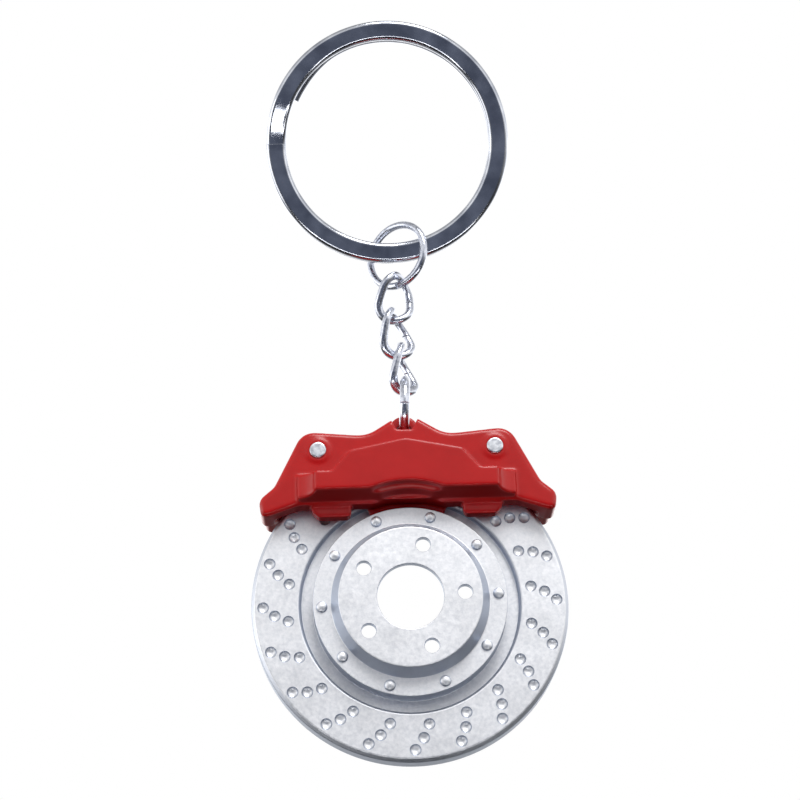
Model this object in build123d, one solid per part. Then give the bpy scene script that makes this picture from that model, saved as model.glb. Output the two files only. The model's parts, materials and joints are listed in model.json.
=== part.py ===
"""Keyring in the shape of a brake disc and its caliper, hanging from a split ring.

Millimetres.  +Z is up, +X is to the right and +Y goes away from the side that the caliper's raised
body faces.  The origin is the centre of the split ring.  Everything below it hangs in one
upright plane through the middle of the disc, and each height is counted down the chain from the
origin.  The chain is slack from side to side, so each hanging point has its own place along X.
"""
from build123d import *
from math import asin, cos, degrees, pi, radians, sin, sqrt
import os

# ---- split ring: flat wire wound twice
RING_OD = 32.0
RING_WIRE_W = 2.6  # radial width of the flat wire
RING_WIRE_T = 1.4  # thickness of one turn
RING_EDGE_R = 0.6  # the wire's rolled edges
RING_TURN_GAP = 0.06  # between the two turns
RING_LEAN = 20.8  # the held ring leans forward by this angle
RING_END_ANGLE = 180.0  # where the front turn ends, counted from +X towards +Z
RING_STEP_ANGLE = 26.0  # the wire crosses from one turn to the other over this angle
RING_STEP_SECTIONS = 7  # sections of the loft there
RING_EDGE_LIMIT = 0.45  # most of the wire's thickness that an edge's radius takes

# ---- jump ring: round wire, cut once
JUMP_OD = 9.6
JUMP_WIRE = 1.0
JUMP_YAW = -36.0
JUMP_X = 0.92
JUMP_DROP = 0.35  # its centre hangs this far below the middle of the split ring's wire
JUMP_CUT = 3.0  # angle of the cut between its ends

# ---- three twisted chain links
LINK_WIRE = 1.1
LINK_LENGTH = 7.4
LINK_WIDTH = 5.35
LINK_TWIST = 70.0  # from a link's bottom to its top
LINK_YAWS = (26.0, 46.0, 66.0)  # of each link's waist
LINK_TOPS_X = (1.0, 0.0, 0.75)
LINK_POINTS = 24  # points of the centre line's spline
LINK_EASE = 0.02  # softens the change from a link's straight sides to its ends

# ---- eye ring, through the caliper's lug
EYE_OD = 8.4
EYE_WIRE = 1.3
EYE_CUT = 1.5  # angle of the cut between its ends
EYE_CUT_AT = 80.0  # angle from its lowest point up to the cut, on the front
EYE_TOP_X = 1.35
CHAIN_PLAY = 0.13  # gap between one wire and the next where they hang on each other

# ---- disc
DISC_OD = 39.2
DRAWN_OD = 39.2  # the radii and the face sizes of disc and caliper are given for this disc
FIT = DISC_OD / DRAWN_OD  # by which they follow the disc's size
DISC_T = 3.5
DISC_BEVEL = 0.45
GROOVE_OUTER_R = 13.5 * FIT
GROOVE_DEPTH = 0.9
GROOVE_BEVEL = 0.3
FLANGE_R = 11.95 * FIT
FLANGE_RISE = 1.65
HAT_BASE_R = 9.75 * FIT
HAT_FACE_R = 8.8 * FIT
HAT_RISE = 3.65
HAT_WALL = 1.0
HAT_INSIDE_R = 8.0 * FIT  # of the hollow behind the hat, at its deepest
HAT_INSIDE_MOUTH_R = 8.9 * FIT  # where that hollow opens into the one behind the flange
FLANGE_WALL = 1.05
BORE_R = 4.1
BOLT_COUNT = 5
BOLT_CIRCLE_R = 6.7 * FIT
BOLT_HOLE_R = 0.92
BOLT_START = 74.9  # angle of the first hole from +X towards +Z
DOME_COUNT = 10
DOME_CIRCLE_R = 10.9 * FIT
DOME_R = 0.62
DOME_RISE = 0.45
DOME_START = 75.0
DIMPLE_GROUPS = 20
DIMPLE_R = 0.69
DIMPLE_DEPTH = 0.4
DIMPLE_PLACES = ((15.14, 42.9), (16.73, 39.8), (18.13, 36.1))  # radius and angle in the first group

# ---- caliper: two die-cast halves that meet round the disc's rim
CALIPER_X = 0.97  # of the disc's axis and of the lug's hole
OUTLINE_SHIFT = 0.15  # the outline and the rivets sit this far to +X of them
DISC_GAP = 0.3  # between the disc and the caliper on every side
PLATE_T = 2.7  # front half, outside the disc pocket
REAR_PLATE_T = 2.2
PLATE_BEVEL = 0.4
BODY_RISE = 2.6  # raised piston body on the front half
REAR_BODY_RISE = 1.1
SEAM_GAP = 0.02  # paint line between the halves
LUG_T = 2.0  # thin lug that the eye ring goes through
LUG_HOLE_R = 0.98
LUG_HOLE_TO_CENTRE = 22.85 * FIT  # from the disc's axis up to the eye ring's wire in the lug
LUG_TOP = 25.0 * FIT
LUG_R = 1.9
LUG_ROOT = 0.5  # the tongue starts this far above the disc pocket
EYE_NOTCH_BOTTOM = 1.05  # half width of the eye ring's slot in the plates, just below the hole
EYE_NOTCH_TOP = 2.3  # half width of the slot above the lug
RIB_W = 1.1  # guide rib that runs in the disc's groove
RIB_HALF_ANGLE = 22.0
RIB_PLAY = 0.2
PAD_IN = 6.95 * FIT
PAD_OUT = 11.9 * FIT
PAD_BOTTOM = 10.75 * FIT
PAD_TOP = 13.0 * FIT
PAD_FRONT = 2.0  # thickness of each pad lug
PAD_CORNER = 0.9

# ---- rivets
RIVET_X = 11.1 * FIT
RIVET_Z = 19.3 * FIT
RIVET_HEAD_R = 1.05
RIVET_HEAD_RISE = 0.22
RIVET_SHANK_R = 0.8
RIVET_CLEARANCE = 0.02
RIVET_BOSS_R = 1.55
RIVET_BOSS_RISE = 0.12

# Right half of the caliper's outline from the crown down to the lower edge: x, z, corner radius.
OUTLINE = (
    (5.0, 21.25, 4.0),
    (13.0, 22.0, 2.4),
    (16.65, 14.75, 1.8),
    (18.6, 13.1, 1.4),
    (18.3, 10.6, 0.8),
    (13.6, 12.2, 3.0),
    (4.4, 12.15, 2.5),
    (2.2, 12.75, 2.5),
)
CROWN = (0.0, 24.4, 2.2)
REAR_LOBE = {3: (18.3, 13.1, 1.2), 4: (17.9, 11.2, 0.7)}  # corners that the rear half has instead

# Right half of the raised body: x and z where it leaves the plate, then x and z on its face.
BODY = (
    (7.3, 18.65, 7.0, 18.4),
    (9.4, 16.05, 9.15, 15.85),
    (13.75, 15.95, 10.9, 15.8),
    (13.75, 12.55, 10.9, 13.4),
    (4.7, 12.55, 4.7, 13.4),
    (3.4, 13.1, 3.4, 14.15),
)
BODY_TOP = (20.05, 19.85)  # z on the centre line, at the plate and on the face

# ---- worked out from the above
ring_mid_r = (RING_OD - RING_WIRE_W) / 2
hang_y = ring_mid_r * sin(radians(RING_LEAN))
hang_z = -ring_mid_r * cos(radians(RING_LEAN))
jump_r = (JUMP_OD - JUMP_WIRE) / 2
jump_z = hang_z - JUMP_DROP
link_half = (LINK_LENGTH - LINK_WIRE) / 2
eye_r = (EYE_OD - EYE_WIRE) / 2


def hang(upper_bottom_z, upper_wire, lower_wire):
    """Height of the top wire that hangs on the wire whose lowest centre is at upper_bottom_z."""
    return upper_bottom_z + (upper_wire + lower_wire) / 2 + CHAIN_PLAY


def hung_span(top_x, top_z, bottom_x, length):
    """Highest and lowest wire centre of a link of that length, as points."""
    bottom_z = top_z - sqrt(length ** 2 - (top_x - bottom_x) ** 2)
    return Vector(top_x, hang_y, top_z), Vector(bottom_x, hang_y, bottom_z)


link_spans = []
bottom_z, wire = jump_z - jump_r, JUMP_WIRE
for top_x, bottom_x in zip(LINK_TOPS_X, LINK_TOPS_X[1:] + (EYE_TOP_X,)):
    top_z = hang(bottom_z, wire, LINK_WIRE)
    link_spans.append(hung_span(top_x, top_z, bottom_x, 2 * link_half))
    bottom_z, wire = link_spans[-1][1].Z, LINK_WIRE
eye_span = hung_span(EYE_TOP_X, hang(bottom_z, LINK_WIRE, EYE_WIRE), CALIPER_X, 2 * eye_r)
disc_z = eye_span[1].Z - LUG_HOLE_TO_CENTRE
disc_y = hang_y - DISC_T / 2  # the disc's front friction face

# Depths along Y, counted from the disc's front friction face.
seam_y = DISC_T / 2
plate_back = -DISC_GAP
plate_front = plate_back - PLATE_T
body_front = plate_front - BODY_RISE
rear_plate_front = DISC_T + DISC_GAP
rear_plate_back = rear_plate_front + REAR_PLATE_T
rear_body_back = rear_plate_back + REAR_BODY_RISE
groove_mid_r = (FLANGE_R + GROOVE_OUTER_R) / 2
rivet_places = (OUTLINE_SHIFT - RIVET_X, OUTLINE_SHIFT + RIVET_X)


def facing(y):
    """Plane at depth y whose local x and y are +X and +Z, and whose normal looks to -Y."""
    return Plane(origin=(0, y, 0), x_dir=(1, 0, 0), z_dir=(0, -1, 0))


def slab(sketch, y_from, y_to):
    """Extrude a sketch drawn in X and Z from one depth to a greater one."""
    return extrude(facing(y_to) * sketch, amount=y_to - y_from)


def turned(angle, part):
    """Turn a part about the disc's axis, from +X towards +Z."""
    return Rot(0, -angle, 0) * part


def at_disc(part):
    """Carry a part drawn round the disc's centre to its place on the keyring."""
    return Pos(CALIPER_X, disc_y, disc_z) * part


def hung(span, yaw):
    """Place between two hanging points, turned about the line through them."""
    top, bottom = span
    lean = degrees(asin((top.X - bottom.X) / (top - bottom).length))
    middle = (top + bottom) / 2
    return Pos(middle.X, middle.Y, middle.Z) * Rot(0, lean, 0) * Rot(0, 0, yaw)


def mirrored_outline(points):
    """Close a run of right-hand points with their mirror images: points and corner radii."""
    return list(points) + [(-x, z, r) for x, z, r in reversed(points)]


# ---------------------------------------------------------------- rings and chain

def ring_section(angle, y):
    """Wire section of the split ring at an angle, with its middle at depth y."""
    x, z = ring_mid_r * cos(radians(angle)), ring_mid_r * sin(radians(angle))
    out = (cos(radians(angle)), 0, sin(radians(angle)))
    across = Plane(origin=(x, y, z), x_dir=out, z_dir=(-out[2], 0, out[0]))
    edge_r = min(RING_EDGE_R, RING_EDGE_LIMIT * RING_WIRE_T)
    return across * RectangleRounded(RING_WIRE_W, RING_WIRE_T, edge_r)


def split_ring():
    """Two turns of flat wire, joined where the wire steps from the front turn to the rear one."""
    half_pitch = (RING_WIRE_T + RING_TURN_GAP) / 2
    turn = 360 - RING_STEP_ANGLE
    start = RING_END_ANGLE
    axis = Axis((0, 0, 0), (0, -1, 0))
    front = revolve(ring_section(start, -half_pitch), axis, turn)
    rear = revolve(ring_section(start + 360, half_pitch), axis, turn)
    sections = []
    for i in range(RING_STEP_SECTIONS):
        share = i / (RING_STEP_SECTIONS - 1)
        eased = share * share * (3 - 2 * share)
        sections.append(ring_section(start + turn + RING_STEP_ANGLE * share,
                                     half_pitch * (2 * eased - 1)))
    step = loft(sections)
    return Rot(RING_LEAN, 0, 0) * (front + step + rear)


def wire_loop(mean_r, wire_d, cut_angle, cut_at):
    """Upright ring of round wire in the XZ plane, cut at an angle from its lowest point."""
    section = Plane(origin=(0, 0, -mean_r), x_dir=(0, 0, 1), z_dir=(1, 0, 0)) * Circle(wire_d / 2)
    loop = revolve(section, Axis((0, 0, 0), (0, -1, 0)), 360 - cut_angle)
    return Rot(0, -cut_angle / 2 - cut_at, 0) * loop


def link_path():
    """Points of a twisted link's centre line: an oval whose plane turns with height."""
    end_r = (LINK_WIDTH - LINK_WIRE) / 2
    straight = link_half - end_r
    points = []
    for i in range(LINK_POINTS):
        t = 2 * pi * i / LINK_POINTS
        x = end_r * cos(t)
        z = end_r * sin(t) + straight * sin(t) / sqrt(sin(t) ** 2 + LINK_EASE)
        yaw = radians(LINK_TWIST / 2 * z / link_half)
        points.append((x * cos(yaw), x * sin(yaw), z))
    return points


def twisted_link():
    """One chain link round its own centre, swept in two halves that meet at its waist."""
    path = Edge.make_spline([Vector(*p) for p in link_path()], periodic=True)
    link = Part()
    for half in (path.trim(0, 0.5), path.trim(0.5, 1)):
        section = Plane(origin=half @ 0, z_dir=half % 0) * Circle(LINK_WIRE / 2)
        link += sweep(section, path=half)
    return link


# ---------------------------------------------------------------- disc

def brake_disc():
    """Cast disc: friction ring, groove, flange with domes and a bored hat, all one piece."""
    r = DISC_OD / 2
    profile = Polyline(
        (BORE_R, -HAT_RISE),
        (HAT_FACE_R, -HAT_RISE),
        (HAT_BASE_R, -FLANGE_RISE),
        (FLANGE_R, -FLANGE_RISE),
        (FLANGE_R, GROOVE_DEPTH),
        (GROOVE_OUTER_R, GROOVE_DEPTH),
        (GROOVE_OUTER_R, GROOVE_BEVEL),
        (GROOVE_OUTER_R + GROOVE_BEVEL, 0),
        (r - DISC_BEVEL, 0),
        (r, DISC_BEVEL),
        (r, DISC_T - DISC_BEVEL),
        (r - DISC_BEVEL, DISC_T),
        (GROOVE_OUTER_R + GROOVE_BEVEL, DISC_T),
        (GROOVE_OUTER_R, DISC_T - GROOVE_BEVEL),
        (GROOVE_OUTER_R, DISC_T - GROOVE_DEPTH),
        (FLANGE_R, DISC_T - GROOVE_DEPTH),
        (FLANGE_R, DISC_T),
        (FLANGE_R - FLANGE_WALL, DISC_T),
        (FLANGE_R - FLANGE_WALL, FLANGE_WALL - FLANGE_RISE),
        (HAT_INSIDE_MOUTH_R, FLANGE_WALL - FLANGE_RISE),
        (HAT_INSIDE_R, HAT_WALL - HAT_RISE),
        (BORE_R, HAT_WALL - HAT_RISE),
        close=True,
    )
    disc = revolve(make_face(profile), Axis.Y)
    for i in range(BOLT_COUNT):
        angle = BOLT_START + 360 / BOLT_COUNT * i
        disc -= turned(angle, Pos(BOLT_CIRCLE_R, 0, 0) * slab(Circle(BOLT_HOLE_R), -HAT_RISE, DISC_T))
    ball_r = (DOME_R ** 2 + DOME_RISE ** 2) / (2 * DOME_RISE)
    for i in range(DOME_COUNT):
        angle = DOME_START - 360 / DOME_COUNT * i
        ball_y = ball_r - FLANGE_RISE - DOME_RISE
        disc += turned(angle, Pos(DOME_CIRCLE_R, ball_y, 0) * Sphere(ball_r))
    marks = []
    for i in range(DIMPLE_GROUPS):
        for drawn_r, first in DIMPLE_PLACES:
            angle = first - 360 / DIMPLE_GROUPS * i
            for y in (0, DISC_T):
                mark = Cylinder(DIMPLE_R, 2 * DIMPLE_DEPTH, rotation=(90, 0, 0))
                marks.append(turned(angle, Pos(drawn_r * FIT, y, 0) * mark))
    return at_disc(disc - marks)


# ---------------------------------------------------------------- caliper

def caliper_outline(front):
    """Face of one half's outline in X and Z round the disc's centre."""
    half = [corner if front else REAR_LOBE.get(i, corner) for i, corner in enumerate(OUTLINE)]
    corners = [CROWN] + mirrored_outline(half)
    points = [(x * FIT + OUTLINE_SHIFT, z * FIT) for x, z, _ in corners]
    radii = [r * FIT for _, _, r in corners]
    return make_face(FilletPolyline(*points, radius=radii, close=True))


def raised_body(y_plate, y_face):
    """Raised body as a ruled loft from its outline at the plate to its smaller face."""
    base = [(0, BODY_TOP[0])] + [(b[0], b[1]) for b in BODY]
    face = [(0, BODY_TOP[1])] + [(b[2], b[3]) for b in BODY]
    rings = []
    for y, half in ((y_plate, base), (y_face, face)):
        points = [(x * FIT, z * FIT) for x, z in half]
        points += [(-x, z) for x, z in reversed(points[1:])]
        rings.append(facing(y) * make_face(Polyline(*points, close=True)))
    return loft(rings, ruled=True)


def disc_pocket():
    """Room for the disc's rim between the plates."""
    r = DISC_OD / 2 + DISC_GAP
    return slab(Circle(r), plate_back, rear_plate_front)


def hub_room():
    """Room for the flange and the hat, which turn under the lower edge."""
    return slab(Circle(FLANGE_R + DISC_GAP), body_front, DISC_T + DISC_GAP)


def guide_rib(y_from, y_to):
    """Arc rib that runs in the disc's groove and keeps the disc centred."""
    band = Circle(groove_mid_r + RIB_W / 2) - Circle(groove_mid_r - RIB_W / 2)
    reach = 2 * groove_mid_r
    half = radians(RIB_HALF_ANGLE)
    wedge = make_face(Polyline((0, 0), (reach * sin(half), reach * cos(half)),
                               (-reach * sin(half), reach * cos(half)), close=True))
    return slab(band & wedge, y_from, y_to)


def pad_lug(side, y_from, y_to):
    """Pad end that shows below the plate over the friction ring."""
    points = (
        (PAD_IN, PAD_TOP), (PAD_OUT, PAD_TOP), (PAD_OUT, PAD_BOTTOM + PAD_CORNER),
        (PAD_OUT - PAD_CORNER, PAD_BOTTOM), (PAD_IN + PAD_CORNER / 2, PAD_BOTTOM),
        (PAD_IN, PAD_BOTTOM + PAD_CORNER / 2),
    )
    sketch = make_face(Polyline(*((side * x, z) for x, z in points), close=True))
    return slab(sketch, y_from, y_to)


def eye_notch(y_from, y_to):
    """Room in a plate for the eye ring as it leaves the lug: a slot that opens upwards."""
    low = LUG_HOLE_TO_CENTRE - LUG_HOLE_R
    points = (
        (-EYE_NOTCH_BOTTOM, low), (EYE_NOTCH_BOTTOM, low),
        (EYE_NOTCH_TOP, LUG_TOP), (-EYE_NOTCH_TOP, LUG_TOP),
    )
    return slab(make_face(Polyline(*points, close=True)), y_from, y_to)


def lug_outline():
    """Face of the thin lug that crowns the seam: a tongue with a round top."""
    root = DISC_OD / 2 + DISC_GAP + LUG_ROOT
    tongue = Rectangle(2 * LUG_R, LUG_TOP - LUG_R - root, align=(Align.CENTER, Align.MIN))
    return Pos(0, root) * tongue + Pos(0, LUG_TOP - LUG_R) * Circle(LUG_R)


def caliper_half(front):
    """One half of the caliper with its plate, bridge, raised body, lug, pads and rib."""
    outline = caliper_outline(front)
    if front:
        outer, inner, seam = plate_front, plate_back, seam_y - SEAM_GAP / 2
        face, groove_floor = body_front, GROOVE_DEPTH
    else:
        outer, inner, seam = rear_plate_back, rear_plate_front, seam_y + SEAM_GAP / 2
        face, groove_floor = rear_body_back, DISC_T - GROOVE_DEPTH
    half = slab(outline, min(outer, seam), max(outer, seam))
    rim = half.faces().sort_by(Axis.Y)[0 if front else -1].outer_wire().edges()
    half = chamfer(rim, PLATE_BEVEL)
    half -= disc_pocket()
    half += raised_body(outer, face)
    for x in rivet_places:
        boss_y = (outer - RIVET_BOSS_RISE, outer) if front else (outer, outer + RIVET_BOSS_RISE)
        half += slab(Pos(x, RIVET_Z) * Circle(RIVET_BOSS_R), *boss_y)
        half -= slab(Pos(x, RIVET_Z) * Circle(RIVET_SHANK_R + RIVET_CLEARANCE),
                     body_front, rear_body_back)
    pad_outer = inner - PAD_FRONT if front else inner + PAD_FRONT
    for side in (-1, 1):
        half += pad_lug(side, min(pad_outer, inner), max(pad_outer, inner))
    rib_end = groove_floor - RIB_PLAY if front else groove_floor + RIB_PLAY
    half += guide_rib(min(inner, rib_end), max(inner, rib_end))
    half -= hub_room()
    lug_face = seam_y - LUG_T / 2 if front else seam_y + LUG_T / 2
    half -= eye_notch(min(lug_face, face), max(lug_face, face))
    half += slab(lug_outline(), min(lug_face, seam), max(lug_face, seam))
    half -= slab(Pos(0, LUG_HOLE_TO_CENTRE) * Circle(LUG_HOLE_R), body_front, rear_body_back)
    return at_disc(half)


def rivet(x):
    """Headed pin through both halves, flared at the back."""
    reach_front = plate_front - RIVET_BOSS_RISE
    reach_back = rear_plate_back + RIVET_BOSS_RISE
    at = Pos(x, RIVET_Z)
    shank = slab(at * Circle(RIVET_SHANK_R), reach_front, reach_back)
    heads = (slab(at * Circle(RIVET_HEAD_R), reach_front - RIVET_HEAD_RISE, reach_front)
             + slab(at * Circle(RIVET_HEAD_R), reach_back, reach_back + RIVET_HEAD_RISE))
    return at_disc(shank + heads)


# ---------------------------------------------------------------- write

jump_span = Vector(JUMP_X, hang_y, jump_z + jump_r), Vector(JUMP_X, hang_y, jump_z - jump_r)
parts = {
    "split_ring": split_ring(),
    "jump_ring": hung(jump_span, JUMP_YAW) * wire_loop(jump_r, JUMP_WIRE, JUMP_CUT, 0),
    "caliper_eye_ring": hung(eye_span, -90) * wire_loop(eye_r, EYE_WIRE, EYE_CUT, EYE_CUT_AT),
    "caliper_front_half": caliper_half(True),
    "caliper_rear_half": caliper_half(False),
    "rivet_left": rivet(rivet_places[0]),
    "rivet_right": rivet(rivet_places[1]),
    "brake_disc": brake_disc(),
}
for name, span, yaw in zip(("upper", "middle", "lower"), link_spans, LINK_YAWS):
    parts[f"chain_link_{name}"] = hung(span, yaw) * twisted_link()
os.makedirs("parts", exist_ok=True)
for name, part in parts.items():
    export_step(part, f"parts/{name}.step")
print(f"disc centre {CALIPER_X:.3f} {disc_y:.3f} {disc_z:.3f}, hang y {hang_y:.3f} z {hang_z:.3f}")
for top, bottom in [jump_span] + link_spans + [eye_span]:
    print(f"from x {top.X:.3f} z {top.Z:.3f} to x {bottom.X:.3f} z {bottom.Z:.3f}")
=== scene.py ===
"""Looks of a keyring: a split ring, a jump ring and a twisted chain over a red brake caliper
whose plated disc spins.  Shapes are worked in millimetres and written in metres."""
import bmesh
import bpy
import json
from math import atan2, cos, degrees, pi, radians, sin, tau
from mathutils import Matrix, Vector


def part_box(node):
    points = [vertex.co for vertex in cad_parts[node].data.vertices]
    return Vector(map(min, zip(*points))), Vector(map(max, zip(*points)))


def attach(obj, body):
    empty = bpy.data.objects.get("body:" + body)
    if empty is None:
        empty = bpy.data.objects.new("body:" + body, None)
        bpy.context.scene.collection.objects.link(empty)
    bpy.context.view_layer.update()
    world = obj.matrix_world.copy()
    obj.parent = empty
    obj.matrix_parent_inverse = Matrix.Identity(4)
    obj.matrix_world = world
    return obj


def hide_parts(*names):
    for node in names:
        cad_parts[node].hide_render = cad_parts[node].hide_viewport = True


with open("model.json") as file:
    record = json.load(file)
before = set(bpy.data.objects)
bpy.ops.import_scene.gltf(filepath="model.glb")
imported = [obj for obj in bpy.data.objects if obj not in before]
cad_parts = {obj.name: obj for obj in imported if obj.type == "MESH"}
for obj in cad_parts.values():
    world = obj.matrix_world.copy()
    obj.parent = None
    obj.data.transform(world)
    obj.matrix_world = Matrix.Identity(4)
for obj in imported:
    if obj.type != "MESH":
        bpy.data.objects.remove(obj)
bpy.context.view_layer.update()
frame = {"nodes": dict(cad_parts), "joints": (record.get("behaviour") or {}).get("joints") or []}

MM = 0.001
WELD_GAP, COPY_WELD_GAP = 0.001, 0.0005
X, Y, Z = Vector((1, 0, 0)), Vector((0, 1, 0)), Vector((0, 0, 1))

# Wires, in millimetres and degrees
RING_WIRE_W, RING_WIRE_T, RING_TURN_GAP = 2.6, 1.4, 0.06
RING_OD = 32.0
RING_LEAN = 20.8
RING_STEP_TURN = 26.0
RING_STEPS, STEP_STEPS = 180, 16
RING_EDGE_SHARE, RING_EDGE_SEGMENTS = 0.44, 8
RING_END_BEVEL = 0.08
REAR_BEND, REAR_BEND_FROM, REAR_BEND_TO = 0.5, 112.0, 154.5
JUMP_R, JUMP_WIRE, JUMP_YAW, JUMP_CUT = 4.3, 1.0, -36.0, 3.0
LINK_WIRE, LINK_HALF, LINK_END_R = 1.1, 3.15, 2.125
LINK_TWIST, LINK_YAWS = 70.0, (26.0, 46.0, 66.0)
EYE_R, EYE_WIRE, EYE_CUT, EYE_CUT_AT = 3.55, 1.3, 1.5, 80.0
LINK_SEAM = 0.06
LINK_END_STEPS, LINK_SIDE_STEPS = 28, 14
WIRE_SIDES, LOOP_STEPS, END_BEVEL = 24, 90, 0.07
FLAT_WIRE_SHARP, ROUND_WIRE_SHARP = 40, 50
CHAIN_PLAY, UPPER_LINK_SLIDE = 0.13, 0.08

# Caliper: depths from the disc's front friction face, heights from the disc's axis
BODY_BAR = ((-2.9, 12.55), (-5.6, 13.4), (-5.6, 15.8), (-2.9, 15.95))  # end outline, depth and height
BODY_END = 13.6
SCOOP_X, SCOOP_Y, SCOOP_R, SCOOP_SPAN = 13.6, -6.1, 2.3, (12.0, 17.0)
ARCH_CENTRE_Z = 2.6
ARCH_STEPS = ((-5.8, -4.6, 14.4, 13.95), (-4.6, -3.0, 13.6, 13.1))  # both depths, top at each
TOOL_STEPS = 96
SKIN_GRID, SKIN_ROUNDS = 0.125, 26
RIVET_CROWN = ((0.78, 0.005), (0.91, 0.03), (0.98, 0.09), (1.0, 0.22))
RIVET_SHANK_R, RIVET_HEAD, RIVET_STEPS, RIVET_SHARP = 0.8, 0.22, 48, 50

# Disc: radii and depths, from its front friction face
DISC_R, DISC_T, RIM_BEVEL = 19.6, 3.5, 0.45
GROOVE_R, GROOVE_DEPTH, GROOVE_BEVEL = 13.5, 0.9, 0.3
FLANGE_R, FLANGE_INSIDE_R, FLANGE_RISE, FLANGE_WALL = 11.95, 10.9, 1.65, 1.05
HAT_FACE_R, HAT_BASE_R, HAT_INSIDE_R, HAT_MOUTH_R = 8.8, 9.75, 8.0, 8.9
HAT_RISE, HAT_WALL, BORE_R = 3.65, 1.0, 4.1
DISC_PROFILE = (
    (BORE_R, -HAT_RISE), (HAT_FACE_R, -HAT_RISE), (HAT_BASE_R, -FLANGE_RISE),
    (FLANGE_R, -FLANGE_RISE), (FLANGE_R, GROOVE_DEPTH), (GROOVE_R, GROOVE_DEPTH),
    (GROOVE_R, GROOVE_BEVEL), (GROOVE_R + GROOVE_BEVEL, 0.0),
    (DISC_R - RIM_BEVEL, 0.0), (DISC_R, RIM_BEVEL),
    (DISC_R, DISC_T - RIM_BEVEL), (DISC_R - RIM_BEVEL, DISC_T),
    (GROOVE_R + GROOVE_BEVEL, DISC_T), (GROOVE_R, DISC_T - GROOVE_BEVEL),
    (GROOVE_R, DISC_T - GROOVE_DEPTH), (FLANGE_R, DISC_T - GROOVE_DEPTH), (FLANGE_R, DISC_T),
    (FLANGE_INSIDE_R, DISC_T), (FLANGE_INSIDE_R, FLANGE_WALL - FLANGE_RISE),
    (HAT_MOUTH_R, FLANGE_WALL - FLANGE_RISE), (HAT_INSIDE_R, HAT_WALL - HAT_RISE),
    (BORE_R, HAT_WALL - HAT_RISE),
)
DISC_STEPS, DISC_ROUNDING, DISC_SHARP = 240, 0.12, 24
DOME_COUNT, DOME_CIRCLE_R, DOME_START, DOME_R, DOME_RISE = 10, 10.9, 75.0, 0.7, 0.45
DOME_SEGMENTS, DOME_RINGS = 24, 12
DIMPLE_GROUPS = 20
DIMPLE_PLACES = ((15.14, 42.9), (16.73, 39.8), (18.13, 36.1))  # radius, angle in the first group
BOWL_PROFILE = ((0, 0.4), (0.2, 0.385), (0.35, 0.345), (0.48, 0.28), (0.58, 0.2), (0.65, 0.12),
                (0.69, 0.04), (0.73, -0.02), (0.73, -0.3), (0, -0.3))
BOWL_STEPS, DRILL_STEPS = 32, 48
BOLT_COUNT, BOLT_CIRCLE_R, BOLT_START = 5, 6.7, 74.9
DRILL_PROFILE = ((0, 9.0), (0.92, 9.0), (0.92, 0.08), (0.97, -0.01), (0.97, -0.5), (0, -0.5))

# Camera, in millimetres from the disc's centre
LENS_MM, SENSOR_MM = 92.385, 36.0
LENS_FROM_DISC = Vector((-6.63, -245.58, -66.47))
LENS_AXIS = Vector((0.0238, 0.9345, 0.3553)).normalized()
LENS_UP = Vector((0.0259, -0.3559, 0.9342))

# Floor and lights, in metres: place from the disc's centre, side and power of each softbox
FLOOR_Z, FLOOR_SIZE = -0.3, 40.0
KEY_SOFTBOX = (Vector((0.12, -0.45, 0.6)), 0.35, 3.8)
LEFT_SOFTBOX = (Vector((-0.55, -0.1, -0.05)), 0.4, 0.8)

# Light tent: its grey from straight below (0) to straight above (1), and its odd parts
TENT_BY_HEIGHT = ((0.0, 0.02), (0.3, 0.04), (0.45, 0.3), (0.56, 0.95), (0.68, 0.75), (0.8, 0.5),
                  (1.0, 0.3))
TENT_LIGHT, LEFT_WALL_LIGHT, RIGHT_WALL_LIGHT, BACK_LIGHT = 1.5, 1.05, 1.1, 0.35
OPENING_TONE, OPENING_IN, OPENING_OUT = "#545966", 16, 52
TABLE_EDGE_Z, TABLE_EDGE_HALF, TABLE_EDGE_LIGHT = -0.7, 0.035, 3.5

joint_at = {j["name"]: Vector(j["pos_m"]) / MM for j in frame["joints"]}
disc_at = joint_at["disc_spin"]


def box_mm(node):
    """Lowest corner, highest corner and size of a CAD node, in millimetres."""
    low, high = (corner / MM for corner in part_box(node))
    return low, high, high - low


# ---------------------------------------------------------------- materials

def tone(hex_code):
    """Linear colour of an sRGB hex value."""
    channels = [int(hex_code[i:i + 2], 16) / 255 for i in (1, 3, 5)]
    return tuple(c / 12.92 if c <= 0.04045 else ((c + 0.055) / 1.055) ** 2.4
                 for c in channels) + (1.0,)


def add(tree, kind, inputs=None, stops=None, **settings):
    """Add a node with its settings; an input is a value or another node's output."""
    new = tree.nodes.new(kind)
    for name, value in settings.items():
        setattr(new, name, value)
    for place, value in (inputs or {}).items():
        if isinstance(value, bpy.types.NodeSocket):
            tree.links.new(value, new.inputs[place])
        else:
            new.inputs[place].default_value = value
    if stops:
        ramp = new.color_ramp.elements
        while len(ramp) < len(stops):
            ramp.new(0.5)
        for element, (place, colour) in zip(ramp, stops):
            element.position = place
            element.color = colour
    return new


def grains(size_mm):
    """Texture scale at which one grain is size_mm across, on Object coordinates in metres."""
    return 1 / (size_mm * MM)


def new_finish(name):
    """New material, its node tree, its shader and the coordinates that patterns lie on."""
    material = bpy.data.materials.new(name)
    material.use_nodes = True
    tree = material.node_tree
    coords = add(tree, "ShaderNodeTexCoord")
    return material, tree, tree.nodes["Principled BSDF"], coords


def grey(value):
    """Linear grey."""
    return (value, value, value, 1.0)


def set_shader(shader, **values):
    """Set the shader's own sockets; underscores stand for spaces."""
    for name, value in values.items():
        shader.inputs[name.replace("_", " ")].default_value = value


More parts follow.
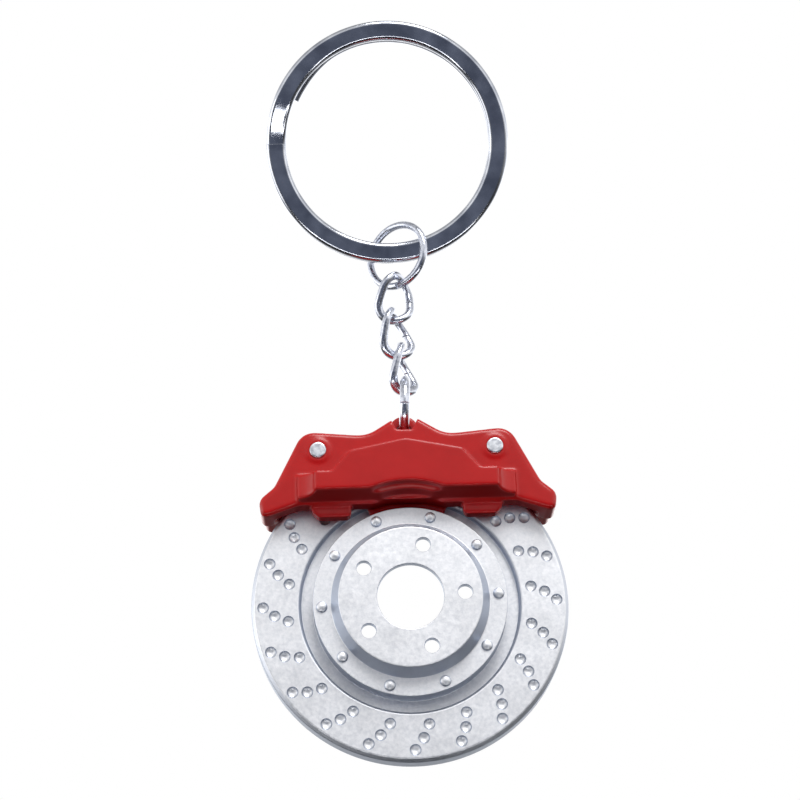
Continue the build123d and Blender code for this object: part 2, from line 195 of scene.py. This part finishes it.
def nickel_plated_flat_wire():
    """Spring steel rolled flat, coiled and barrel-plated with bright nickel.  The barrel leaves
    a fine mottle, so the flat face shows a dark reflection broken by small lighter specks."""
    material, tree, shader, coords = new_finish("nickel_plated_flat_wire")
    mottle = add(tree, "ShaderNodeTexNoise", {"Vector": coords.outputs["Object"],
                 "Scale": grains(0.32), "Detail": 4.0, "Roughness": 0.7})
    clouds = add(tree, "ShaderNodeTexNoise", {"Vector": coords.outputs["Object"],
                 "Scale": grains(2.6), "Detail": 2.0})
    colour = add(tree, "ShaderNodeValToRGB", {"Fac": clouds.outputs["Fac"]},
                 stops=[(0.3, tone("#a4a8b2")), (0.7, tone("#d6d9e0"))])
    rough = add(tree, "ShaderNodeMapRange", {"Value": mottle.outputs["Fac"],
                "From Min": 0.3, "From Max": 0.7, "To Min": 0.1, "To Max": 0.22})
    bump = add(tree, "ShaderNodeBump", {"Height": mottle.outputs["Fac"],
               "Strength": 0.3, "Distance": 0.01 * MM})
    tree.links.new(colour.outputs["Color"], shader.inputs["Base Color"])
    tree.links.new(rough.outputs["Result"], shader.inputs["Roughness"])
    tree.links.new(bump.outputs["Normal"], shader.inputs["Normal"])
    set_shader(shader, Metallic=1.0)
    return material


def nickel_plated_round_wire():
    """Drawn steel wire, bent, twisted and nickel-plated.  It is brighter than the flat wire,
    with shallow dents from the pliers that break up its long reflections."""
    material, tree, shader, coords = new_finish("nickel_plated_round_wire")
    dents = add(tree, "ShaderNodeTexNoise", {"Vector": coords.outputs["Object"],
                "Scale": grains(1.3), "Detail": 0.0})
    scuffs = add(tree, "ShaderNodeTexNoise", {"Vector": coords.outputs["Object"],
                 "Scale": grains(0.3), "Detail": 3.0})
    colour = add(tree, "ShaderNodeValToRGB", {"Fac": scuffs.outputs["Fac"]},
                 stops=[(0.35, tone("#b4b8c4")), (0.6, tone("#d4d7e0"))])
    rough = add(tree, "ShaderNodeMapRange", {"Value": scuffs.outputs["Fac"],
                "From Min": 0.3, "From Max": 0.7, "To Min": 0.18, "To Max": 0.28})
    bump = add(tree, "ShaderNodeBump", {"Height": dents.outputs["Fac"],
               "Strength": 0.6, "Distance": 0.12 * MM})
    tree.links.new(colour.outputs["Color"], shader.inputs["Base Color"])
    tree.links.new(rough.outputs["Result"], shader.inputs["Roughness"])
    tree.links.new(bump.outputs["Normal"], shader.inputs["Normal"])
    set_shader(shader, Metallic=1.0)
    return material


def red_stove_enamel():
    """Thick red stoving enamel, sprayed on a zinc casting and baked.  It flows into a soft skin
    with faint orange peel: even red on the flats, a pale glint along each rounded edge.  Faces
    that look down get a painted shade: a darker red, with a rougher, less glossy finish."""
    material, tree, shader, coords = new_finish("red_stove_enamel")
    flow = add(tree, "ShaderNodeTexNoise", {"Vector": coords.outputs["Object"],
               "Scale": grains(3.5), "Detail": 3.0, "Roughness": 0.6})
    peel = add(tree, "ShaderNodeTexNoise", {"Vector": coords.outputs["Object"],
               "Scale": grains(0.7), "Detail": 1.0})
    colour = add(tree, "ShaderNodeValToRGB", {"Fac": flow.outputs["Fac"]},
                 stops=[(0.3, tone("#ad0c0b")), (0.7, tone("#b7100f"))])
    bump = add(tree, "ShaderNodeBump", {"Height": peel.outputs["Fac"],
               "Strength": 0.4, "Distance": 0.02 * MM})
    # Painted shade: faces that look down get a darker red (#7c0606), and are made rougher and less
    # glossy.
    facing = add(tree, "ShaderNodeSeparateXYZ", {"Vector": coords.outputs["Normal"]})
    out_of_painted_shade = add(tree, "ShaderNodeMapRange", {"Value": facing.outputs["Z"], "From Min": -0.98,
                  "From Max": -0.82}, interpolation_type="SMOOTHSTEP")
    enamel_with_painted_shade = add(tree, "ShaderNodeMix", {"Factor": out_of_painted_shade.outputs["Result"],
               "A": tone("#7c0606"), "B": colour.outputs["Color"]}, data_type="RGBA")
    rough = add(tree, "ShaderNodeMapRange", {"Value": out_of_painted_shade.outputs["Result"],
                "To Min": 0.55, "To Max": 0.24})
    gloss = add(tree, "ShaderNodeMapRange", {"Value": out_of_painted_shade.outputs["Result"],
                "To Min": 0.1, "To Max": 0.5})
    tree.links.new(gloss.outputs["Result"], shader.inputs["Specular IOR Level"])
    tree.links.new(enamel_with_painted_shade.outputs["Result"], shader.inputs["Base Color"])
    tree.links.new(rough.outputs["Result"], shader.inputs["Roughness"])
    tree.links.new(bump.outputs["Normal"], shader.inputs["Normal"])
    set_shader(shader, IOR=1.42)
    return material


def bright_rivet_steel():
    """Cold-headed steel, barrel-polished.  The hammered head is bright with soft grey dapples."""
    material, tree, shader, coords = new_finish("bright_rivet_steel")
    dapple = add(tree, "ShaderNodeTexNoise", {"Vector": coords.outputs["Object"],
                 "Scale": grains(0.6), "Detail": 3.0})
    colour = add(tree, "ShaderNodeValToRGB", {"Fac": dapple.outputs["Fac"]},
                 stops=[(0.3, tone("#b7bac2")), (0.7, tone("#eceef2"))])
    bump = add(tree, "ShaderNodeBump", {"Height": dapple.outputs["Fac"],
               "Strength": 0.6, "Distance": 0.05 * MM})
    tree.links.new(colour.outputs["Color"], shader.inputs["Base Color"])
    tree.links.new(bump.outputs["Normal"], shader.inputs["Normal"])
    set_shader(shader, Metallic=1.0, Roughness=0.3)
    return material


def satin_plated_zinc():
    """Zinc die casting, vibro-finished and plated satin silver.  The flat faces are bright with a
    fine cloudy grain; the walls between them are painted a darker blue-grey as shade."""
    material, tree, shader, coords = new_finish("satin_plated_zinc")
    grain = add(tree, "ShaderNodeTexNoise", {"Vector": coords.outputs["Object"],
                "Scale": grains(0.45), "Detail": 5.0, "Roughness": 0.65})
    clouds = add(tree, "ShaderNodeTexNoise", {"Vector": coords.outputs["Object"],
                 "Scale": grains(5.0), "Detail": 3.0})
    tint = add(tree, "ShaderNodeValToRGB", {"Fac": grain.outputs["Fac"]},
               stops=[(0.3, tone("#e4e6ea")), (0.7, tone("#fafafc"))])
    shade = add(tree, "ShaderNodeValToRGB", {"Fac": clouds.outputs["Fac"]},
                stops=[(0.3, grey(0.88)), (0.7, grey(1.0))])
    face = add(tree, "ShaderNodeMix", {"Factor": 1.0, "A": tint.outputs["Color"],
               "B": shade.outputs["Color"]}, data_type="RGBA", blend_type="MULTIPLY")
    # Painted shade: walls, whose normals turn away from the disc's axis, get a darker blue-grey
    # (#b9c0cd) in place of the bright face colour.
    facing = add(tree, "ShaderNodeSeparateXYZ", {"Vector": coords.outputs["Normal"]})
    flat = add(tree, "ShaderNodeMath", {0: facing.outputs["Y"]}, operation="ABSOLUTE")
    free_of_painted_wall_shade = add(tree, "ShaderNodeMapRange", {"Value": flat.outputs["Value"], "From Min": 0.55,
                  "From Max": 0.92}, interpolation_type="SMOOTHSTEP")
    colour = add(tree, "ShaderNodeMix", {"Factor": free_of_painted_wall_shade.outputs["Result"],
                 "A": tone("#b9c0cd"), "B": face.outputs["Result"]}, data_type="RGBA")
    rough = add(tree, "ShaderNodeMapRange", {"Value": grain.outputs["Fac"],
                "From Min": 0.3, "From Max": 0.7, "To Min": 0.42, "To Max": 0.55})
    bump = add(tree, "ShaderNodeBump", {"Height": grain.outputs["Fac"],
               "Strength": 0.5, "Distance": 0.02 * MM})
    tree.links.new(colour.outputs["Result"], shader.inputs["Base Color"])
    tree.links.new(rough.outputs["Result"], shader.inputs["Roughness"])
    tree.links.new(bump.outputs["Normal"], shader.inputs["Normal"])
    set_shader(shader, Metallic=1.0)
    return material


finishes = {
    "ring_steel": nickel_plated_flat_wire(),
    "chain_steel": nickel_plated_round_wire(),
    "caliper_red": red_stove_enamel(),
    "rivet_steel": bright_rivet_steel(),
    "disc_zinc": satin_plated_zinc(),
}


# ---------------------------------------------------------------- mesh helpers

def as_object(bm, name):
    """Plain object of a bmesh, linked to the scene."""
    mesh = bpy.data.meshes.new(name)
    bm.to_mesh(mesh)
    bm.free()
    piece = bpy.data.objects.new(name, mesh)
    bpy.context.scene.collection.objects.link(piece)
    return piece


def settled(piece):
    """Replace a piece's mesh by what its modifiers make of it."""
    bpy.context.view_layer.update()
    shaped = piece.evaluated_get(bpy.context.evaluated_depsgraph_get())
    mesh = bpy.data.meshes.new_from_object(shaped)
    piece.modifiers.clear()
    piece.data = mesh
    return piece


def modify(piece, kind, **settings):
    """Add a modifier with its settings."""
    modifier = piece.modifiers.new(kind.lower(), kind)
    for name, value in settings.items():
        setattr(modifier, name, value)
    return modifier


def carve(piece, tool, operation="DIFFERENCE"):
    """Cut a closed tool out of a closed piece, or join it on."""
    modify(piece, "BOOLEAN", object=tool, operation=operation, solver="EXACT")
    settled(piece)
    bpy.data.objects.remove(tool)
    return piece


def finished(piece, body, slot, node, sharp_angle=None):
    """Shade a piece, bring it to metres, give it its finish, and let it stand for its CAD node.
    Flat faces are shaded flat while in millimetres: in metres they count as equally small."""
    piece.data.shade_smooth()
    if sharp_angle:
        piece.data.set_sharp_from_angle(angle=radians(sharp_angle))
        modify(piece, "WEIGHTED_NORMAL", keep_sharp=True, weight=100)
        settled(piece)
    piece.data.transform(Matrix.Scale(MM, 4))
    piece.data.materials.clear()
    piece.data.materials.append(finishes[slot])
    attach(piece, body)
    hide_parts(node)
    return piece


def chain_of_points(bm, points, closed=False):
    """Vertices at the points, joined in order by edges."""
    verts = [bm.verts.new(p) for p in points]
    pairs = list(zip(verts, verts[1:]))
    if closed:
        pairs.append((verts[-1], verts[0]))
    for pair in pairs:
        bm.edges.new(pair)
    return verts


def turn(bm, geometry, centre, axis, angle, steps, drift=(0, 0, 0)):
    """Spin a section through an angle, moving it by drift in all; gives the far end."""
    done = bmesh.ops.spin(bm, geom=geometry, cent=centre, axis=axis, dvec=Vector(drift) / steps,
                          angle=angle, steps=steps, use_merge=False, use_duplicate=False)
    return done["geom_last"]


def section_of(face):
    """A face with its edges and corners, ready to be swept."""
    return list(face.verts) + list(face.edges) + [face]


def closed_up(bm):
    """Weld doubles and turn every face outwards."""
    bmesh.ops.remove_doubles(bm, verts=bm.verts, dist=WELD_GAP)
    bmesh.ops.recalc_face_normals(bm, faces=bm.faces)


def round_corners(bm, face, radius, segments):
    """Round every corner of a face."""
    bmesh.ops.bevel(bm, geom=list(face.verts), offset=radius, segments=segments, profile=0.5,
                    affect="VERTICES", material=-1)


def soften_ends(bm, size):
    """Round the rims of a wire's two cut ends."""
    rims = [e for f in bm.faces if len(f.verts) > 4 for e in f.edges]
    bmesh.ops.bevel(bm, geom=rims, offset=size, segments=2, profile=0.5, affect="EDGES",
                    material=-1, clamp_overlap=True)


# ---------------------------------------------------------------- split ring

def ease(share):
    """Smooth step from 0 to 1."""
    return share * share * (3 - 2 * share)


def split_ring(lean, wire_w, wire_t, radius, step_turn):
    """Two turns of flat wire in one sweep: the front turn, the step back and the rear turn, whose
    loose end springs a little inwards."""
    edge_r = RING_EDGE_SHARE * wire_t
    pitch = wire_t + RING_TURN_GAP
    bm = bmesh.new()
    bmesh.ops.create_grid(bm, x_segments=1, y_segments=1, size=0.5)
    bmesh.ops.scale(bm, verts=bm.verts, vec=(wire_w, wire_t, 1))
    bmesh.ops.translate(bm, verts=bm.verts, vec=(-radius, -pitch / 2, 0))
    round_corners(bm, bm.faces[:][0], edge_r, RING_EDGE_SEGMENTS)
    bm.faces.ensure_lookup_table()
    section = section_of(bm.faces[0])
    long_turn = tau - step_turn
    section = turn(bm, section, (0, 0, 0), -Y, long_turn, RING_STEPS)
    for i in range(STEP_STEPS):
        before, after = (ease((i + k) / STEP_STEPS) for k in (0, 1))
        section = turn(bm, section, (0, 0, 0), -Y, step_turn / STEP_STEPS, 1,
                       drift=(0, pitch * (after - before), 0))
    turn(bm, section, (0, 0, 0), -Y, long_turn, RING_STEPS)
    closed_up(bm)
    for vert in bm.verts:
        angle = degrees(atan2(vert.co.z, vert.co.x))
        if vert.co.y > RING_TURN_GAP / 4 and REAR_BEND_FROM < angle < REAR_BEND_TO:
            share = ease((angle - REAR_BEND_FROM) / (REAR_BEND_TO - REAR_BEND_FROM))
            inward = -Vector((vert.co.x, 0, vert.co.z)).normalized()
            vert.co += inward * REAR_BEND * share
    soften_ends(bm, RING_END_BEVEL)
    bmesh.ops.rotate(bm, verts=bm.verts, cent=(0, 0, 0), matrix=Matrix.Rotation(lean, 3, "X"))
    return as_object(bm, "split_ring_wire")


def round_section(bm, centre, wire, normal_axis):
    """Round section of a wire at a point, square to an axis."""
    turn_to = normal_axis.to_track_quat("Z", "Y").to_matrix().to_4x4()
    done = bmesh.ops.create_circle(bm, cap_ends=True, segments=WIRE_SIDES, radius=wire / 2,
                                   matrix=Matrix.Translation(centre) @ turn_to)
    return section_of(done["verts"][0].link_faces[0])


def cut_ring(mean_r, wire, cut, cut_at=0.0):
    """Upright ring of round wire with a sawn gap, turned by cut_at degrees from the bottom."""
    bm = bmesh.new()
    section = round_section(bm, (0, 0, -mean_r), wire, X)
    turn(bm, section, (0, 0, 0), -Y, tau - radians(cut), LOOP_STEPS)
    closed_up(bm)
    soften_ends(bm, END_BEVEL)
    gap_to = Matrix.Rotation(-radians(cut / 2 + cut_at), 4, "Y")
    bm.transform(gap_to)
    return bm


def hung_between(bm, top, bottom, yaw):
    """Place an upright loop between its highest and lowest wire centres."""
    lean = atan2(top.x - bottom.x, top.z - bottom.z)
    bm.transform(Matrix.Translation((top + bottom) / 2) @ Matrix.Rotation(lean, 4, "Y")
                 @ Matrix.Rotation(radians(yaw), 4, "Z"))


def twisted_link():
    """Oval of drawn wire with a butt seam in one side, twisted from end to end."""
    side = LINK_HALF - LINK_END_R
    part = side - LINK_SEAM / 2
    bm = bmesh.new()
    section = round_section(bm, (LINK_END_R, 0, LINK_SEAM / 2), LINK_WIRE, Z)
    for rise, end_z in ((part, side), (-2 * side, -side), (part, None)):
        section = turn(bm, section, (0, 0, 0), Z, 0, LINK_SIDE_STEPS, drift=(0, 0, rise))
        if end_z is not None:
            section = turn(bm, section, (0, 0, end_z), -Y, pi, LINK_END_STEPS)
    closed_up(bm)
    soften_ends(bm, END_BEVEL)
    for vert in bm.verts:
        twist = radians(LINK_TWIST / 2) * vert.co.z / LINK_HALF
        vert.co.rotate(Matrix.Rotation(twist, 3, "Z"))
    return bm


# ---------------------------------------------------------------- rings and chain

RING_MID_R = (RING_OD - RING_WIRE_W) / 2
ring = split_ring(radians(RING_LEAN), RING_WIRE_W, RING_WIRE_T, RING_MID_R,
                  radians(RING_STEP_TURN))
finished(ring, "split_ring", "ring_steel", "split_ring", FLAT_WIRE_SHARP)

# Each loop hangs on the lowest wire centre of the one above it, where their joint is.
hooks = [joint_at[name] for name in ("link_upper_swing", "link_middle_swing", "link_lower_swing",
                                     "eye_ring_swing", "caliper_swing")]
jump = cut_ring(JUMP_R, JUMP_WIRE, JUMP_CUT)
hung_between(jump, hooks[0] + 2 * JUMP_R * Z, hooks[0], JUMP_YAW)
finished(as_object(jump, "jump_ring_wire"), "jump_ring", "chain_steel", "jump_ring",
         ROUND_WIRE_SHARP)

above = JUMP_WIRE
for place, upper, lower, yaw in zip(("upper", "middle", "lower"), hooks, hooks[1:], LINK_YAWS):
    link = twisted_link()
    top = upper + ((above + LINK_WIRE) / 2 + CHAIN_PLAY) * Z
    if place == "upper":
        top = top + UPPER_LINK_SLIDE * X
    hung_between(link, top, lower, yaw)
    finished(as_object(link, f"twisted_link_{place}"), f"link_{place}", "chain_steel",
             f"chain_link_{place}", ROUND_WIRE_SHARP)
    above = LINK_WIRE

eye = cut_ring(EYE_R, EYE_WIRE, EYE_CUT, EYE_CUT_AT)
hung_between(eye, hooks[3] + ((LINK_WIRE + EYE_WIRE) / 2 + CHAIN_PLAY) * Z, hooks[4], -90)
finished(as_object(eye, "eye_ring_wire"), "eye_ring", "chain_steel", "caliper_eye_ring",
         ROUND_WIRE_SHARP)


# ---------------------------------------------------------------- caliper

def solid_copy(node):
    """Welded copy of a CAD node in millimetres."""
    bm = bmesh.new()
    bm.from_mesh(frame["nodes"][node].data)
    bm.transform(Matrix.Scale(1 / MM, 4))
    bmesh.ops.remove_doubles(bm, verts=bm.verts, dist=COPY_WELD_GAP)
    return as_object(bm, f"{node}_copy")


def bar_along_x(name, corners, x_from, x_to):
    """Straight bar along X whose end outline is a run of y and z corners."""
    bm = bmesh.new()
    verts = [bm.verts.new((x_from, y, z)) for y, z in corners]
    bmesh.ops.contextual_create(bm, geom=verts)
    push = bmesh.ops.extrude_face_region(bm, geom=bm.faces[:])["geom"]
    moved = [v for v in push if isinstance(v, bmesh.types.BMVert)]
    bmesh.ops.translate(bm, verts=moved, vec=(x_to - x_from, 0, 0))
    closed_up(bm)
    bm.transform(Matrix.Translation(disc_at))
    return as_object(bm, name)


def cone_along_y(name, centre, y_from, y_to, r_from, r_to):
    """Round tool along Y from one depth to a greater one, round a point of x and z."""
    bm = bmesh.new()
    bmesh.ops.create_cone(bm, cap_ends=True, segments=TOOL_STEPS, radius1=r_to, radius2=r_from,
                          depth=y_to - y_from)
    at = disc_at + Vector((centre[0], (y_from + y_to) / 2, centre[1]))
    bm.transform(Matrix.Translation(at) @ Matrix.Rotation(pi / 2, 4, "X"))
    return as_object(bm, name)


def post_along_z(name, x, y, radius, z_from, z_to):
    """Round tool that stands along Z."""
    bm = bmesh.new()
    bmesh.ops.create_cone(bm, cap_ends=True, segments=TOOL_STEPS, radius1=radius, radius2=radius,
                          depth=z_to - z_from)
    bm.transform(Matrix.Translation(disc_at + Vector((x, y, (z_from + z_to) / 2))))
    return as_object(bm, name)


def cast_skin(piece):
    """Casting under one coat of enamel: every edge, inside and out, gets a soft radius."""
    modify(piece, "REMESH", mode="VOXEL", voxel_size=SKIN_GRID, adaptivity=0.0)
    modify(piece, "SMOOTH", factor=0.5, iterations=SKIN_ROUNDS)
    return settled(piece)


def front_casting():
    """Front half: scooped ends on the raised body and a stepped arch under it."""
    half = solid_copy("caliper_front_half")
    carve(half, bar_along_x("body_bar", BODY_BAR, -BODY_END, BODY_END), "UNION")
    for side in (-1, 1):
        carve(half, post_along_z("scoop", side * SCOOP_X, SCOOP_Y, SCOOP_R, *SCOOP_SPAN))
    for y_from, y_to, top_from, top_to in ARCH_STEPS:
        carve(half, cone_along_y("arch", (0, ARCH_CENTRE_Z), y_from, y_to,
                                 top_from - ARCH_CENTRE_Z, top_to - ARCH_CENTRE_Z))
    return cast_skin(half)


front = front_casting()
front.name = "caliper_front_casting"
finished(front, "caliper", "caliper_red", "caliper_front_half")
rear = cast_skin(solid_copy("caliper_rear_half"))
rear.name = "caliper_rear_casting"
finished(rear, "caliper", "caliper_red", "caliper_rear_half")


def lathe(name, centre, profile, steps, rounding=0.0):
    """Closed turned shape about Y: radius and depth of each corner of its half section."""
    bm = bmesh.new()
    on_axis = profile[0][0] == 0
    verts = chain_of_points(bm, [(r, y, 0) for r, y in profile], closed=not on_axis)
    if rounding:
        inner = [v for v in verts if v.co.x > rounding]
        bmesh.ops.bevel(bm, geom=inner, offset=rounding, segments=4, profile=0.5,
                        affect="VERTICES", material=-1, clamp_overlap=True)
    bmesh.ops.spin(bm, geom=bm.verts[:] + bm.edges[:], cent=(0, 0, 0), axis=Y, angle=tau,
                   steps=steps, use_merge=True, use_duplicate=False)
    closed_up(bm)
    bm.transform(Matrix.Translation(centre))
    return as_object(bm, name)


def rivet(node, name):
    """Headed pin with a slightly crowned head at each end."""
    low, high, size = box_mm(node)
    head_r = size.x / 2
    centre = (low + high) / 2
    half = size.y / 2
    profile = [(0, -half)] + [(head_r * r, -half + rise) for r, rise in RIVET_CROWN]
    profile += [(RIVET_SHANK_R, -half + RIVET_HEAD), (RIVET_SHANK_R, half - RIVET_HEAD)]
    profile += [(head_r * r, half - rise) for r, rise in reversed(RIVET_CROWN)] + [(0, half)]
    finished(lathe(name, centre, profile, RIVET_STEPS), "caliper", "rivet_steel", node, RIVET_SHARP)


for side in ("left", "right"):
    rivet(f"rivet_{side}", f"rivet_{side}_pin")


# ---------------------------------------------------------------- disc

def round_place(radius, angle, depth):
    """Point at a radius and an angle from +X towards +Z round the disc's axis."""
    return disc_at + Vector((radius * cos(radians(angle)), depth, radius * sin(radians(angle))))


def many(tool, places, flip=False):
    """One object with a copy of a small tool at each place, turned about for the rear face."""
    bm = bmesh.new()
    for place in places:
        start = len(bm.verts)
        bm.from_mesh(tool.data)
        bm.verts.ensure_lookup_table()
        copy = bm.verts[start:]
        if flip:
            bmesh.ops.rotate(bm, verts=copy, cent=(0, 0, 0), matrix=Matrix.Rotation(pi, 3, "X"))
        bmesh.ops.translate(bm, verts=copy, vec=place)
    return as_object(bm, "tools")


def brake_disc():
    """Turned body with soft corners, ten domes, bowl-shaped drillings and five bolt holes."""
    disc = lathe("brake_disc_casting", disc_at, DISC_PROFILE, DISC_STEPS, DISC_ROUNDING)
    bm = bmesh.new()
    bmesh.ops.create_uvsphere(bm, u_segments=DOME_SEGMENTS, v_segments=DOME_RINGS, radius=DOME_R)
    bmesh.ops.scale(bm, verts=bm.verts, vec=(1, DOME_RISE / DOME_R, 1))
    dome = as_object(bm, "dome")
    places = [round_place(DOME_CIRCLE_R, DOME_START - 360 / DOME_COUNT * i, -FLANGE_RISE)
              for i in range(DOME_COUNT)]
    carve(disc, many(dome, places), "UNION")
    bowl = lathe("bowl", (0, 0, 0), BOWL_PROFILE, BOWL_STEPS)
    for flip, depth in ((False, 0), (True, DISC_T)):
        places = [round_place(radius, first - 360 / DIMPLE_GROUPS * i, depth)
                  for i in range(DIMPLE_GROUPS) for radius, first in DIMPLE_PLACES]
        carve(disc, many(bowl, places, flip))
    drill = lathe("drill", (0, 0, 0), DRILL_PROFILE, DRILL_STEPS)
    places = [round_place(BOLT_CIRCLE_R, BOLT_START + 360 / BOLT_COUNT * i, -HAT_RISE)
              for i in range(BOLT_COUNT)]
    carve(disc, many(drill, places))
    for tool in (dome, bowl, drill):
        bpy.data.objects.remove(tool)
    return disc


finished(brake_disc(), "disc", "disc_zinc", "brake_disc", DISC_SHARP)


# ---------------------------------------------------------------- studio

def studio_world():
    """Light tent round the object: brightest a little above level, dim overhead, dark below, with
    a grey opening round the lens and a bright table edge low in front.  The backdrop is white."""
    world = bpy.data.worlds.new("light_tent")
    world.use_nodes = True
    bpy.context.scene.world = world
    tree = world.node_tree
    tree.nodes.clear()
    way = add(tree, "ShaderNodeTexCoord")
    parts = add(tree, "ShaderNodeSeparateXYZ", {"Vector": way.outputs["Generated"]})
    height = add(tree, "ShaderNodeMapRange", {"Value": parts.outputs["Z"], "From Min": -1.0,
                 "From Max": 1.0})
    up = add(tree, "ShaderNodeValToRGB", {"Fac": height.outputs["Result"]},
             stops=[(place, grey(light)) for place, light in TENT_BY_HEIGHT])
    left = add(tree, "ShaderNodeMapRange", {"Value": parts.outputs["X"], "From Min": -0.8,
               "From Max": -0.3, "To Min": LEFT_WALL_LIGHT, "To Max": 1.0},
               interpolation_type="SMOOTHSTEP")
    right = add(tree, "ShaderNodeMapRange", {"Value": parts.outputs["X"], "From Min": 0.2,
                "From Max": 0.8, "To Min": 1.0, "To Max": RIGHT_WALL_LIGHT},
                interpolation_type="SMOOTHSTEP")
    walls = add(tree, "ShaderNodeMath", {0: left.outputs["Result"],
                1: right.outputs["Result"]}, operation="MULTIPLY")
    tent = add(tree, "ShaderNodeMix", {"Factor": 1.0, "A": up.outputs["Color"],
               "B": walls.outputs["Value"]}, data_type="RGBA", blend_type="MULTIPLY")
    towards = add(tree, "ShaderNodeVectorMath", {0: way.outputs["Generated"],
                  1: -LENS_AXIS}, operation="DOT_PRODUCT")
    opening = add(tree, "ShaderNodeMapRange", {"Value": towards.outputs["Value"],
                  "From Min": cos(radians(OPENING_OUT)), "From Max": cos(radians(OPENING_IN))},
                  interpolation_type="SMOOTHSTEP")
    opened = add(tree, "ShaderNodeMix", {"Factor": opening.outputs["Result"],
                 "A": tent.outputs["Result"], "B": tone(OPENING_TONE)}, data_type="RGBA")
    level = add(tree, "ShaderNodeMapRange", {"Value": parts.outputs["Y"], "From Min": -0.2,
                "From Max": -0.5, "To Min": 0.0, "To Max": TABLE_EDGE_LIGHT})
    back = add(tree, "ShaderNodeMapRange", {"Value": parts.outputs["Y"], "From Min": 0.3,
               "From Max": 0.8, "To Min": 0.0, "To Max": BACK_LIGHT})
    below = add(tree, "ShaderNodeMath", {0: parts.outputs["Z"], 1: TABLE_EDGE_Z,
                2: TABLE_EDGE_HALF}, operation="COMPARE")
    edge = add(tree, "ShaderNodeMath", {0: level.outputs["Result"], 1: below.outputs["Value"]},
               operation="MULTIPLY")
    extra = add(tree, "ShaderNodeMath", {0: edge.outputs["Value"], 1: back.outputs["Result"]},
                operation="ADD")
    whole = add(tree, "ShaderNodeMix", {"Factor": 1.0, "A": opened.outputs["Result"],
                "B": extra.outputs["Value"]}, data_type="RGBA", blend_type="ADD")
    lit = add(tree, "ShaderNodeBackground", {"Color": whole.outputs["Result"],
              "Strength": TENT_LIGHT})
    backdrop = add(tree, "ShaderNodeBackground", {"Color": grey(1.0), "Strength": 1.0})
    seen = add(tree, "ShaderNodeLightPath")
    both = add(tree, "ShaderNodeMixShader", {0: seen.outputs["Is Camera Ray"],
               1: lit.outputs["Background"], 2: backdrop.outputs["Background"]})
    add(tree, "ShaderNodeOutputWorld", {"Surface": both.outputs["Shader"]})


def softbox(name, away, side, power):
    """Square area light that faces the disc's centre."""
    light = bpy.data.lights.new(name, "AREA")
    light.size, light.energy = side, power
    lamp = bpy.data.objects.new(name, light)
    bpy.context.scene.collection.objects.link(lamp)
    lamp.matrix_world = (Matrix.Translation(disc_at * MM + away)
                         @ away.to_track_quat("Z", "Y").to_matrix().to_4x4())


def camera():
    """Camera below the disc's height, looking up at the hanging keyring."""
    data = bpy.data.cameras.new("camera")
    data.lens, data.sensor_width, data.clip_start = LENS_MM, SENSOR_MM, 0.01
    body = bpy.data.objects.new("camera", data)
    bpy.context.scene.collection.objects.link(body)
    side = LENS_AXIS.cross(LENS_UP).normalized()
    up = side.cross(LENS_AXIS).normalized()
    body.matrix_world = (Matrix.Translation((disc_at + LENS_FROM_DISC) * MM)
                         @ Matrix((side, up, -LENS_AXIS)).transposed().to_4x4())
    bpy.context.scene.camera = body


def pale_floor():
    """Plain pale floor well below the hanging keyring."""
    bm = bmesh.new()
    bmesh.ops.create_grid(bm, x_segments=1, y_segments=1, size=FLOOR_SIZE / 2)
    bmesh.ops.translate(bm, verts=bm.verts, vec=(0, 0, FLOOR_Z))
    floor = as_object(bm, "floor")
    material, _, shader, _ = new_finish("pale_paper")
    set_shader(shader, Base_Color=tone("#f2f2f0"), Roughness=0.9)
    floor.data.materials.append(material)
    floor.visible_glossy = False
    floor.visible_diffuse = False


studio_world()
camera()
pale_floor()
softbox("key_softbox", *KEY_SOFTBOX)
softbox("left_softbox", *LEFT_SOFTBOX)
bpy.context.scene.view_settings.view_transform = "Standard"
